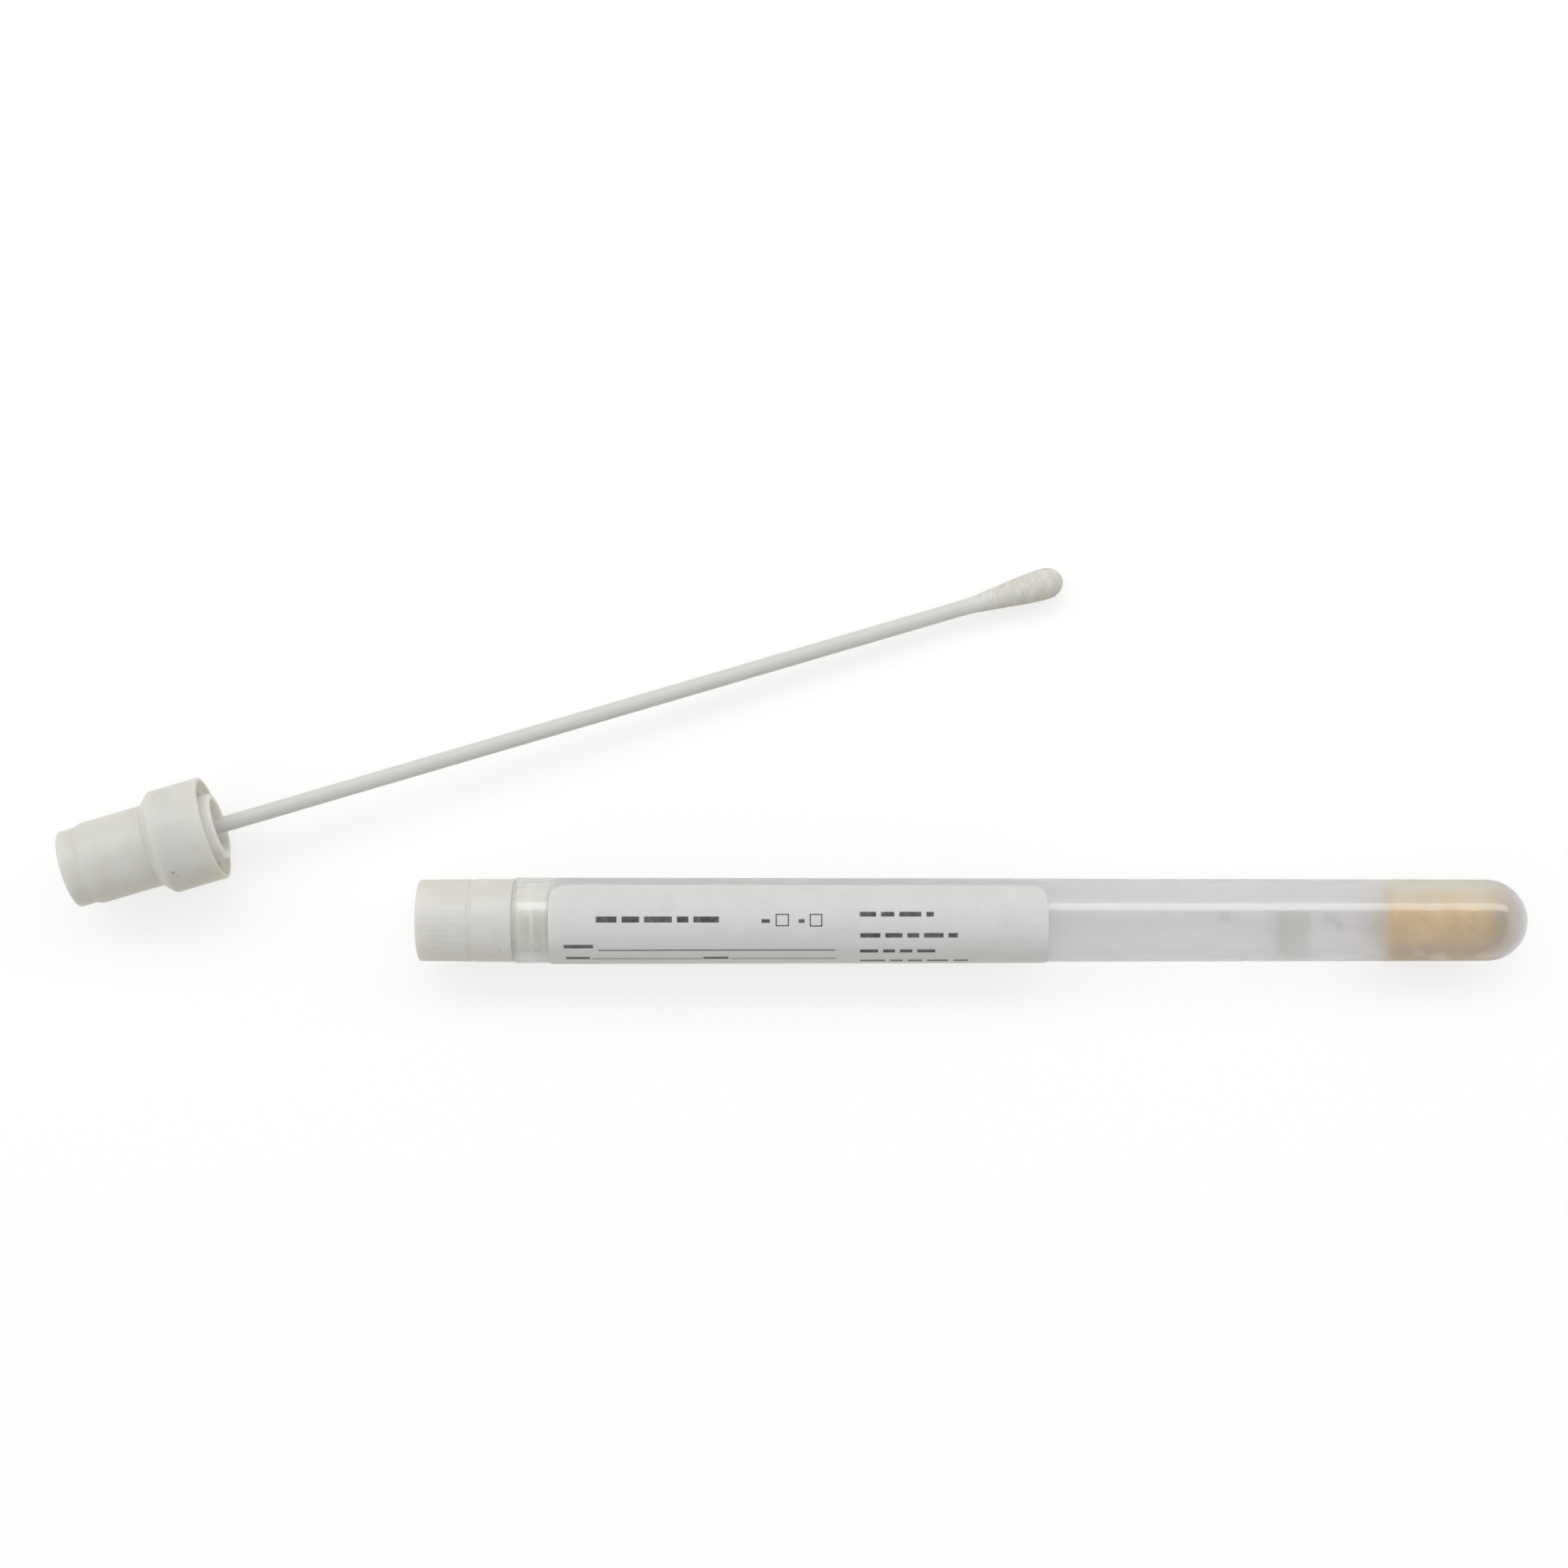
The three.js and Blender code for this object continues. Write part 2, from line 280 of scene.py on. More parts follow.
def settle(piece, body, node=None):
    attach(piece, body)
    if node:
        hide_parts(node)
    faces = sum(len(face.vertices) - 2 for face in piece.data.polygons)
    print("made", piece.name, "with", faces, "triangles")
    return piece


def newTree(name, sizes):
    # a geometry tree with one input for the piece's mesh and one for each size
    tree = bpy.data.node_groups.new(name, "GeometryNodeTree")
    tree.interface.new_socket("Geometry", in_out="INPUT", socket_type="NodeSocketGeometry")
    tree.interface.new_socket("Geometry", in_out="OUTPUT", socket_type="NodeSocketGeometry")
    for label, value in sizes.items():
        kind = "NodeSocketInt" if isinstance(value, int) else "NodeSocketFloat"
        tree.interface.new_socket(label, in_out="INPUT", socket_type=kind)
    group = tree.nodes.new("NodeGroupInput")
    inputs = {socket.name: Signal(tree, socket) for socket in group.outputs if socket.name}
    return tree, Signal(tree), inputs


def endTree(tree, geometry, material):
    real = geometry.node("GeometryNodeRealizeInstances", None, {0: geometry})
    painted = real.node("GeometryNodeSetMaterial", None, {"Geometry": real, "Material": material})
    output = tree.nodes.new("NodeGroupOutput")
    tree.links.new(painted.socket, output.inputs[0])


def runTree(piece, tree, sizes):
    modifier = piece.modifiers.new(tree.name, "NODES")
    modifier.node_group = tree
    for item in tree.interface.items_tree:
        if item.in_out == "INPUT" and item.name in sizes:
            modifier[item.identifier] = sizes[item.name]
    bpy.context.view_layer.update()
    result = piece.evaluated_get(bpy.context.evaluated_depsgraph_get())
    mesh = bpy.data.meshes.new_from_object(result)
    piece.modifiers.remove(modifier)
    piece.data = mesh
    return piece


# camera, table and light

camera = {"height": 365.4, "overX": -1.7, "overY": -2.95, "lens": 54.04, "sensor": 36,
          "clip": 0.01}

cameraData = bpy.data.cameras.new("camera")
cameraData.lens = camera["lens"]
cameraData.sensor_width = camera["sensor"]
cameraData.clip_start = camera["clip"]
cameraObject = bpy.data.objects.new("camera", cameraData)
cameraObject.location = (camera["overX"] * mm, camera["overY"] * mm, camera["height"] * mm)
bpy.context.scene.collection.objects.link(cameraObject)
bpy.context.scene.camera = cameraObject
bpy.context.scene.view_settings.view_transform = "Standard"

table = {"side": 6.0, "tone": (0.775, 0.735, 0.60), "seenTone": 0.42, "lift": 0.655, "dust": 0.008,
         "dustScale": 900, "throughTone": 0.8, "throughLift": 0.33, "fadeFrom": 0.14, "fadeTo": 0.6}
light = {"worldSeen": 1.0, "worldFill": 0.37, "worldEnds": 0.08, "worldLeft": 0.3, "worldBack": 0.04,
         "worldUp": 0.22, "ceiling": 0.55, "ceilingFrom": 0.5, "ceilingTo": 0.95,
         "boxLength": 1.6, "boxWidth": 0.222, "boxPower": 2.1, "boxAway": 0.6, "boxAngle": 41.5,
         "boxOffset": 0.04}


def tableSurface():
    material, start = startMaterial("paleTable")
    tree = material.node_tree
    place = start.node("ShaderNodeTexCoord", output="Object")
    x, y = place.split()[:2]
    far = rise(lengthOf(x, y), table["fadeFrom"], table["fadeTo"])
    rays = askingRays(tree)
    dust = (grain(place, table["dustScale"], 3) - 0.5) * table["dust"]
    through = rays["Transmission"] * (1 - rays["Camera"])
    tone = table["seenTone"] + through * (table["throughTone"] - table["seenTone"]) + dust
    lift = table["lift"] + through * (table["throughLift"] - table["lift"])
    plain = start.node("ShaderNodeBsdfDiffuse", None, {"Color": table["tone"]})
    shaded = start.node("ShaderNodeBsdfDiffuse", None, {"Color": tone})
    glow = start.node("ShaderNodeEmission", None, {"Color": (1, 1, 1), "Strength": lift})
    white = start.node("ShaderNodeEmission", None, {"Color": (1, 1, 1), "Strength": 1.0})
    near = start.node("ShaderNodeAddShader", None, {0: shaded, 1: glow})
    shown = start.node("ShaderNodeMixShader", None, {0: far, 1: near, 2: white})
    surface = start.node("ShaderNodeMixShader", None, {0: rays["seen"], 1: plain, 2: shown})
    tree.links.new(surface.socket, tree.nodes["Material Output"].inputs["Surface"])
    return material


tableTop = bmesh.new()
bmesh.ops.create_grid(tableTop, x_segments=8, y_segments=8, size=table["side"] / 2)
floor = makePiece("tableTop", tableTop, tableSurface())

world = bpy.data.worlds.new("studio")
world.use_nodes = True
bpy.context.scene.world = world
worldRays = askingRays(world.node_tree)
worldX, worldY, worldZ = Signal(world.node_tree).node("ShaderNodeTexCoord", output="Generated").split()
worldLeft = (worldX * -1).maths("MAXIMUM", 0.0)
worldLit = light["worldFill"] + worldX * worldX * light["worldEnds"] + worldY * light["worldBack"]
worldLit = worldLit + worldLeft * light["worldLeft"] + worldZ.maths("MAXIMUM", 0.0) * light["worldUp"]
# gloss finds a dimmer ceiling straight above
ceiling = worldRays["Glossy"] * rise(worldZ, light["ceilingFrom"], light["ceilingTo"]) * light["ceiling"]
worldStrength = worldLit + worldRays["seen"] * (light["worldSeen"] - ceiling - worldLit)
background = world.node_tree.nodes["Background"].inputs
feed(world.node_tree, background["Color"], (1, 1, 1))
feed(world.node_tree, background["Strength"], worldStrength)

softbox = bpy.data.lights.new("softbox", "AREA")
softbox.shape = "RECTANGLE"
softbox.size = light["boxLength"]
softbox.size_y = light["boxWidth"]
softbox.energy = light["boxPower"]
boxAngle = math.radians(light["boxAngle"])
boxWay = Vector((0, math.sin(boxAngle), math.cos(boxAngle)))
softboxObject = bpy.data.objects.new("softbox", softbox)
softboxObject.location = tubeSeat["origin"] + boxWay * light["boxAway"]
softboxObject.location.x += light["boxOffset"]
softboxObject.rotation_euler = (-boxAngle, 0, 0)
bpy.context.scene.collection.objects.link(softboxObject)
print("camera, table and light set")


# the tube: milky polypropylene, glossy outside and hazed with damp inside

tube = {"length": 154, "mouth": 6.5, "dome": 6.2, "wall": 1.0, "rim": 0.2, "around": 160,
        "tone": (0.82, 0.81, 0.825), "cloudTone": (0.865, 0.855, 0.865), "dampTone": (0.62, 0.625, 0.565),
        "stainAndFoamViewTone": (0.89, 0.75, 0.46), "shadedStainTone": (0.78, 0.60, 0.32),
        "litStainTone": (0.78, 0.76, 0.69), "domeStainAndFoamViewTone": (0.70, 0.63, 0.51),
        "mouthTone": (0.92, 0.92, 0.885), "dulledTone": (1.0, 1.0, 1.0), "clearTone": (0.95, 0.95, 0.95),
        "haze": 0.4, "letsThrough": 0.92, "polish": 0.92, "dulled": (4.6, 5.8),
        # where the stain and the painted view of the foam set in and where they end; the painted shade of the
        # plug's valleys as (place, half)
        "stainAndFoamView": (130.8, 132.0), "stainAndFoamViewEnds": (150.5, 154.0), "valleyShade": ((2.05, 0.3), (3.8, 0.4)),
        "valleyEdge": 0.45,
        # damp patches as (place, half, edge, y they fade from, y they fade to, share); the second, just short
        # of the foam, is painted shadow of the foam's end
        "dampAndShadePatches": ((117.5, 2.1, 1.5, 1.3, 2.3, 0.5), (130.4, 1.0, 2.0, 0.3, 1.6, 0.32)),
        # drops on the bore as (place, angle, size)
        "drops": ((107.0, -9.0, 1.4), (122.9, -7.0, 1.6), (124.2, 5.0, 1.1)), "dropRadius": 5.3}


def tubeRadiusAt(x):
    straight = tube["length"] - tube["dome"]
    return tube["mouth"] + (tube["dome"] - tube["mouth"]) * min(x / straight, 1)


def boreRadiusAt(x):
    return tubeRadiusAt(x) - tube["wall"]


def milkyPlastic():
    material, start = startMaterial(
        "milkyPolypropylene", Transmission_Weight=0.8, IOR=1.42, Coat_Roughness=0.015, Coat_IOR=1.8,
        Specular_IOR_Level=0.3)
    spot = localPlace(start, tubeSeat)
    x, y, z = spot.split()
    domeStart = tube["length"] - tube["dome"]
    outward = lengthOf((x - domeStart).maths("MAXIMUM", 0.0), y, z)
    inner = 1 - rise(outward, tube["dome"] - 0.45, tube["dome"] - 0.25)
    drawn = grain(stretched(spot, (0.02, 0.9, 0.9)), 1.0, 2)
    cloud = grain(stretched(spot, (0.35, 1, 1)), 0.35, 3)
    fine = grain(spot, 3.5, 2)
    smear = grain(stretched(spot, (0.5, 1, 1)), 0.6, 4, 0.6)
    dampAndShadePatches = sum(band(x, place, half, edge) * (1 - rise(y, low, high)) * share
                  for place, half, edge, low, high, share in tube["dampAndShadePatches"])
    wetAndShade = rise(smear * 0.5 + dampAndShadePatches, 0.48, 0.8)
    for place, angle, size in tube["drops"]:
        away = awayFrom(spot, place, angle, tube["dropRadius"]) + (fine - 0.5) * size * 0.5
        wetAndShade = wetAndShade.maths("MAXIMUM", 1 - rise(away, size * 0.3, size))
    wetAndShade = wetAndShade * inner
    colour = mixed(wetAndShade, mixed(cloud, tube["tone"], tube["cloudTone"]), tube["dampTone"])
    # the wetted foam stains the wall it lies against, and the same tan is painted there as a view of the foam
    # through the wall, stronger toward the sides; the upper side is paler as painted light, the lower side
    # darker as painted shade, and it turns duller toward the round end
    stainAndFoamView = rise(x, *tube["stainAndFoamView"]) * (1 - rise(x, *tube["stainAndFoamViewEnds"])) * rise(smear, 0.2, 0.5)
    stainAndFoamColour = mixed(rise(y * -1, 1.5, 5.0), tube["stainAndFoamViewTone"], tube["shadedStainTone"])
    stainAndFoamColour = mixed(rise(y, 3.5, 6.0), stainAndFoamColour, tube["litStainTone"])
    stainAndFoamColour = mixed(rise(x, 145.0, 151.0), stainAndFoamColour, tube["domeStainAndFoamViewTone"])
    side = y.maths("ABSOLUTE")
    rimmed = rise(side, 4.6, 6.0) * (1 - inner) * 0.35
    colour = mixed(stainAndFoamView * (inner * 0.5 + 0.45 + rimmed), colour, stainAndFoamColour)
    # the mouth is rubbed smooth where the plugs slide in
    worn = 1 - rise(x, 5.0, 7.5)
    colour = mixed(worn, colour, tube["mouthTone"])
    # painted shade: the valleys between the plug's seal rings, where shade falls in the gaps, are drawn dark
    # on the bore's lower side, dark enough to show through it
    valleyShade = sum(band(x, place, half, tube["valleyEdge"]) for place, half in tube["valleyShade"])
    colour = mixed(valleyShade * (1 - rise(y, 0.3, 2.0)) * inner * 0.5, colour, tube["dampTone"])
    roughness = tube["haze"] + (drawn - 0.5) * 0.06 + inner * 0.06 + wetAndShade * 0.08 - worn * 0.12
    polish = (tube["polish"] - rise(fine, 0.66, 0.8) * 0.25 - worn * 0.12) * rise(x, 0.4, 1.6)
    # duller and paler along its two sides, as if handled, which also quiets the noise of that rim
    dulled = rise(side, *tube["dulled"]) * (1 - inner)
    polish = polish * (1 - inner) * (1 - dulled * 0.85)
    colour = mixed(dulled * 0.6, colour, tube["dulledTone"])
    height = drawn * 0.3 + fine * 0.1 + wetAndShade * 0.5
    dress(material, height, 0.003, Base_Color=colour, Roughness=roughness, Coat_Weight=polish)
    # lamps shine through the wall, so what is inside is lit
    tree = material.node_tree
    shadow = start.node("ShaderNodeLightPath", output="Is Shadow Ray")
    clear = start.node("ShaderNodeBsdfTransparent", None, {"Color": tube["clearTone"]})
    body = Signal(tree, tree.nodes["Principled BSDF"].outputs["BSDF"])
    surface = start.node("ShaderNodeMixShader", None, {0: shadow * tube["letsThrough"], 1: body, 2: clear})
    tree.links.new(surface.socket, tree.nodes["Material Output"].inputs["Surface"])
    return material


def tubeProfile():
    domeStart = tube["length"] - tube["dome"]
    hollow = tube["dome"] - tube["wall"]
    inside = [*arc(domeStart, 0, hollow, hollow, 0, 90, 16), (0, boreRadiusAt(0), tube["rim"])]
    outside = [(0, tube["mouth"], tube["rim"]), *arc(domeStart, 0, tube["dome"], tube["dome"], 90, 0, 20)]
    return divided(softened(inside + outside), 6)


tubeShell = makePiece("tubeShell", turned(tubeProfile(), tube["around"]), milkyPlastic())
settle(layPiece(tubeShell, tubeSeat), "tube_body", "tube")


# moulded polyethylene, for the stopper and the swab's handle

moulded = {"shadeSideTone": (0.60, 0.575, 0.48), "dirtTone": (0.2, 0.18, 0.15), "hollowTone": (0.97, 0.96, 0.92)}


def mouldedPlastic(name, seat, tones, rubbedAt, specks, hollow):
    material, start = startMaterial(
        name, Subsurface_Weight=0.6, Subsurface_Radius=(1.0, 0.93, 0.8), Subsurface_Scale=0.003, IOR=1.5)
    spot = localPlace(start, seat)
    x, y, z = spot.split()
    cloud = grain(spot, 0.3, 3)
    flow = grain(stretched(spot, (0.12, 1, 1)), 1.3, 2)
    fine = grain(spot, 7.0, 3, 0.6)
    rub = sum(band(x, place, width, width) for place, width in rubbedAt)
    rub = rub * rise(grain(spot, 1.6, 4, 0.65), 0.45, 0.7)
    dirt = (1 - rise(cells(spot, 0.3), 0.012, 0.03)) * 0.5
    for place, angle, out, size in specks:
        ragged = awayFrom(spot, place, angle, out) + (grain(spot, 4.0, 2) - 0.5) * size * 1.2
        dirt = dirt.maths("MAXIMUM", 1 - rise(ragged, size * 0.35, size))
    tint = cloud * 0.8 + flow * 0.2
    colour = mixed(rise(tint, 0.35, 0.65), tones[0], tones[1])
    colour = mixed(rub * 0.5, colour, tones[2])
    # painted shade: the side toward negative y, away from the light, is darker and yellower
    colour = mixed(rise(y * -1, 4.5, 8.0) * 0.5, colour, moulded["shadeSideTone"])
    colour = mixed(dirt * 0.55, colour, moulded["dirtTone"])
    # light gets through the thin walls, so the hollows are pale
    within = rise(x, hollow["from"], hollow["from"] + 0.6)
    within = within * (1 - rise(lengthOf(y, z), hollow["radius"], hollow["radius"] + 0.2))
    colour = mixed(within * hollow["share"], colour, moulded["hollowTone"])
    roughness = 0.40 + within * 0.15 + (flow - 0.5) * 0.12 + (fine - 0.5) * 0.16 + rub * 0.12
    height = fine * 0.5 + flow * 0.15 - rub * 0.3 - dirt * 1.2
    return dress(material, height, 0.02, Base_Color=colour, Roughness=roughness)


plug = {"radius": 5.16, "wall": 0.95, "lead": 0.3, "rings": 3, "firstRing": 0.95, "ringPitch": 2.05,
        "ringWidth": 0.9, "ringClear": 0.02}


def plugSide(seatAt, length):
    # the outside of a plug from its seat to its leading edge, with the seal rings on it
    points = [(seatAt, plug["radius"])]
    for ring in range(plug["rings"]):
        depth = plug["firstRing"] + ring * plug["ringPitch"]
        height = boreRadiusAt(depth) - plug["ringClear"] - plug["radius"]
        points += arc(seatAt + depth, plug["radius"], plug["ringWidth"] / 2, height, 180, 0, 10)
    points.append((seatAt + length - plug["lead"], plug["radius"], 0.15))
    points.append((seatAt + length, plug["radius"] - plug["lead"], 0.1))
    return points


# the stopper: a ribbed head on a hollow plug

stopper = {"end": stopperEndAt, "seat": -0.1, "endRadius": 6.18, "rimRadius": 6.35, "edge": 0.3,
           "gripLength": 7.8, "groove": 0.6, "grooveDepth": 0.08, "endWall": 2.0, "plugLength": 5.8,
           "ribs": 40, "ribHeight": 0.04, "around": 480,
           "tones": ((0.785, 0.775, 0.735), (0.755, 0.743, 0.695), (0.82, 0.81, 0.785)),
           "specks": ((-1.95, 42.0, 6.3, 0.22),), "hollow": 5.7, "hollowShare": 0.1}


def headRadiusAt(x):
    share = (x - stopper["end"]) / (stopper["seat"] - stopper["end"])
    return stopper["endRadius"] + (stopper["rimRadius"] - stopper["endRadius"]) * share


def stopperProfile():
    end, seatAt = stopper["end"], stopper["seat"]
    grooveAt = end + stopper["gripLength"]
    bandAt = grooveAt + stopper["groove"]
    core = plug["radius"] - plug["wall"]
    corners = [
        (end, 0),
        (end, stopper["endRadius"], stopper["edge"]),
        (grooveAt, headRadiusAt(grooveAt), 0.06),
        (grooveAt, headRadiusAt(grooveAt) - stopper["grooveDepth"], 0.05),
        (bandAt, headRadiusAt(bandAt) - stopper["grooveDepth"], 0.05),
        (bandAt, headRadiusAt(bandAt), 0.06),
        (seatAt, stopper["rimRadius"], 0.2),
        *plugSide(seatAt, stopper["plugLength"]),
        (seatAt + stopper["plugLength"], core, 0.12),
        (end + stopper["endWall"], core, 0.4),
        (end + stopper["endWall"], 0),
    ]
    return divided(softened(corners), 1.2)


def gripRibs(material, sizes):
    # sinks valleys between the ribs into the turned head
    tree, start, given = newTree("gripRibs", sizes)
    x, y, z = start.node("GeometryNodeInputPosition").split()
    radius = lengthOf(y, z)
    pitches = y.maths("ARCTAN2", z) * given["Ribs"] / fullTurn + 0.5
    offCrest = pitches.maths("FRACT") - 0.5
    valley = rise(offCrest.maths("ABSOLUTE"), given["Crest"], given["Root"])
    onGrip = rise(x, given["From"], given["From"] + given["Fade"])
    onGrip = onGrip * (1 - rise(x, given["To"] - given["Fade"], given["To"]))
    onGrip = onGrip * rise(radius, given["Hollow"], given["Hollow"] + 0.3)
    shrink = given["Height"] * valley * onGrip / radius.maths("MAXIMUM", 0.5)
    move = start.node("ShaderNodeCombineXYZ", None, {1: y * shrink * -1, 2: z * shrink * -1})
    moved = start.node("GeometryNodeSetPosition", None, {"Geometry": given["Geometry"], "Offset": move})
    endTree(tree, moved, material)
    return tree


ribSizes = {"Ribs": float(stopper["ribs"]), "Height": stopper["ribHeight"], "Crest": 0.05, "Root": 0.5,
            "From": stopper["end"] + 0.28, "To": stopper["end"] + stopper["gripLength"] - 0.15, "Fade": 0.5,
            "Hollow": 5.3}
stopperPlastic = mouldedPlastic(
    "stopperPolyethylene", tubeSeat, stopper["tones"], ((stopper["end"], 0.5), (stopper["seat"], 0.25)),
    stopper["specks"],
    {"from": stopper["seat"], "radius": stopper["hollow"], "share": stopper["hollowShare"]})
stopperCap = makePiece("stopperCap", turned(stopperProfile(), stopper["around"]), stopperPlastic)
runTree(stopperCap, gripRibs(stopperPlastic, ribSizes), ribSizes)
settle(layPiece(stopperCap, tubeSeat), "stopper_body", "stopper")


# the label: one wrapped sheet of paper with blank form fields

label = {"start": 5.45, "length": 75, "width": 32, "corner": 3, "thickness": 0.12, "glue": 0.05,
         "edgeAngle": 57.6, "columns": 150, "rows": 120, "waviness": 0.012, "cornerColumns": 14,
         "tone": (0.805, 0.80, 0.79), "cloudTone": (0.78, 0.775, 0.765), "handledTone": (0.70, 0.69, 0.67),
         "fibreTone": (0.84, 0.835, 0.825)}


def labelPoint(along, across, lift):
    x = label["start"] + along
    angle = across / tube["mouth"] - math.radians(label["edgeAngle"])
    wave = noise.noise(Vector((along * 0.12, across * 0.35, 4.2))) * label["waviness"]
    radius = tubeRadiusAt(x) + lift + wave - label["waviness"]
    return Vector((x, -radius * math.sin(angle), radius * math.cos(angle)))


def closedSheet(made, columns, rows, pointAt):
    # two grids joined round their edge; pointAt takes the layer, then the shares along and across
    grids = []
    for layer in (0, 1):
        grid = [[made.verts.new(pointAt(layer, column / columns, row / rows)) for row in range(rows + 1)]
                for column in range(columns + 1)]
        grids.append(grid)
    for column in range(columns):
        for row in range(rows):
            for grid in grids:
                made.faces.new((grid[column][row], grid[column][row + 1],
                                grid[column + 1][row + 1], grid[column + 1][row]))
    rim = [(column, 0) for column in range(columns)] + [(columns, row) for row in range(rows)]
    rim += [(column, rows) for column in range(columns, 0, -1)] + [(0, row) for row in range(rows, 0, -1)]
    low, high = grids
    for (c0, r0), (c1, r1) in zip(rim, rim[1:] + rim[:1]):
        made.faces.new((low[c0][r0], low[c1][r1], high[c1][r1], high[c0][r0]))
    return made


def labelSheet():
    # the columns go round each corner in even steps and share out the length between
    corner = []
    for step in range(label["cornerColumns"]):
        angle = math.pi / 2 * step / label["cornerColumns"]
        corner.append((label["corner"] * (1 - math.cos(angle)), label["corner"] * (1 - math.sin(angle))))
    between = label["columns"] - 2 * label["cornerColumns"]
    straight = label["length"] - 2 * label["corner"]
    stations = corner + [(label["corner"] + straight * step / between, 0) for step in range(between + 1)]
    stations += [(label["length"] - along, inset) for along, inset in reversed(corner)]

    def pointAt(layer, shareAlong, shareAcross):
        along, inset = stations[round(shareAlong * label["columns"])]
        across = inset + (label["width"] - 2 * inset) * shareAcross
        return labelPoint(along, across, label["glue"] + layer * label["thickness"])
    made = closedSheet(bmesh.new(), label["columns"], label["rows"], pointAt)
    bmesh.ops.recalc_face_normals(made, faces=made.faces)
    return made


def labelStock():
    material, start = startMaterial("labelPaper", IOR=1.45, Subsurface_Weight=0.4,
                                    Subsurface_Radius=(1.0, 1.0, 0.98), Subsurface_Scale=0.0004)
    spot = localPlace(start, tubeSeat)
    pulp = grain(spot, 5.0, 4, 0.65)
    fibres = grain(stretched(spot, (0.35, 2.2, 2.2)), 3.2, 3, 0.6)
    mottle = grain(spot, 0.22, 3)
    handled = rise(grain(stretched(spot, (0.7, 1, 1)), 0.4, 4, 0.65), 0.52, 0.75)
    colour = mixed(rise(mottle, 0.35, 0.65), label["tone"], label["cloudTone"])
    colour = mixed(handled * 0.35, colour, label["handledTone"])
    colour = mixed(rise(fibres, 0.62, 0.8) * 0.35, colour, label["fibreTone"])
    roughness = 0.56 + (pulp - 0.5) * 0.2 + handled * 0.06
    height = pulp * 0.6 + fibres * 0.4 + mottle * 0.8
    return dress(material, height, 0.014, Base_Color=colour, Roughness=roughness)


paperLabel = makePiece("paperLabel", labelSheet(), labelStock())
settle(layPiece(paperLabel, tubeSeat), "tube_body", "label")


# the print: rules, tick boxes and bars that stand where a form has its words

# bars are (along, across, length, height) in millimetres from the label's corner nearest the stopper
printing = {
    "lift": 0.006, "sink": 0.01,
    "rules": ((7.45, 10.93, 35.6, 0.2), (6.5, 12.98, 16.6, 0.2), (27.3, 12.98, 15.9, 0.2)),
    "boxes": ((34.1, 5.2, 2.0, 1.85), (39.2, 5.2, 1.9, 1.9)), "boxLine": 0.17,
    "captions": ((32.0, 5.6, 1.25, 1.35), (37.55, 5.6, 0.9, 1.35), (2.3, 9.5, 4.4, 1.6),
                 (2.5, 12.05, 3.6, 1.6), (23.2, 12.05, 3.8, 1.6)),
    "heading": (7.2, 4.75, 19.2, 2.6),
    "lines": ((46.7, 4.2, 11.1, 2.1), (46.8, 7.4, 14.6, 2.1), (46.8, 10.3, 11.3, 1.9),
              (46.9, 12.95, 16.3, 1.9)),
    "bar": 0.33, "barHeight": 0.34, "gap": 0.75, "shortest": 0.7, "words": (1.6, 4.2), "seed": 7,
    "tone": (0.06, 0.058, 0.06), "wornTone": (0.17, 0.168, 0.17),
}


def printBar(made, along, across, length, height):
    columns = max(1, math.ceil(length / 2.0))
    rows = max(2, math.ceil(height / 0.35))

    def pointAt(layer, shareAlong, shareAcross):
        lift = label["glue"] + label["thickness"] + (printing["lift"] if layer else -printing["sink"])
        return labelPoint(along + length * shareAlong, across + height * shareAcross, lift)
    closedSheet(made, columns, rows, pointAt)


def wordBars(made, along, across, length, height, pick):
    # a line of text as plain blocks with gaps: its weight on the page, with nothing to read
    reach = along
    while reach < along + length - printing["shortest"]:
        word = min(pick.uniform(*printing["words"]), along + length - reach)
        printBar(made, reach, across + height * printing["bar"], word, height * printing["barHeight"])
        reach += word + printing["gap"]


def labelPrinting():
    made = bmesh.new()
    pick = random.Random(printing["seed"])
    for rule in printing["rules"]:
        printBar(made, *rule)
    line = printing["boxLine"]
    for along, across, length, height in printing["boxes"]:
        printBar(made, along, across, length, line)
        printBar(made, along, across + height - line, length, line)
        printBar(made, along, across + line, line, height - 2 * line)
        printBar(made, along + length - line, across + line, line, height - 2 * line)
    for along, across, length, height in printing["captions"]:
        printBar(made, along, across + height * 0.3, length, height * 0.4)
    for text in printing["lines"]:
        wordBars(made, *text, pick)
    wordBars(made, *printing["heading"], pick)
    bmesh.ops.recalc_face_normals(made, faces=made.faces)
    return made


def inkSurface():
    material, start = startMaterial("printInk", IOR=1.45)
    spot = localPlace(start, tubeSeat)
    soak = grain(spot, 6.0, 3, 0.6)
    patchy = grain(spot, 0.8, 2)
    colour = mixed(rise(soak * 0.6 + patchy * 0.4, 0.4, 0.66), printing["tone"], printing["wornTone"])
    return dress(material, soak, 0.004, Base_Color=colour, Roughness=0.42 + (soak - 0.5) * 0.2)


labelPrint = makePiece("labelPrint", labelPrinting(), inkSurface())
settle(layPiece(labelPrint, tubeSeat), "tube_body")


# the foam: a tan open-celled plug, slightly crumpled, in the round end

foam = {"end": 151.6, "length": 19.3, "clear": -0.03, "edge": 0.5, "around": 200, "crumple": 0.3,
        "pores": 0.05, "drawnBack": 0.5, "longest": 0.16,
        "tone": (0.66, 0.48, 0.235), "paleTone": (0.80, 0.64, 0.37), "patchTone": (0.54, 0.39, 0.185),
        "poreTone": (0.80, 0.66, 0.39), "pitShadeTone": (0.36, 0.25, 0.12), "litUpperTone": (0.67, 0.655, 0.59),
        "lowerShadeTone": (0.45, 0.31, 0.13), "endShadeTone": (0.33, 0.23, 0.105)}


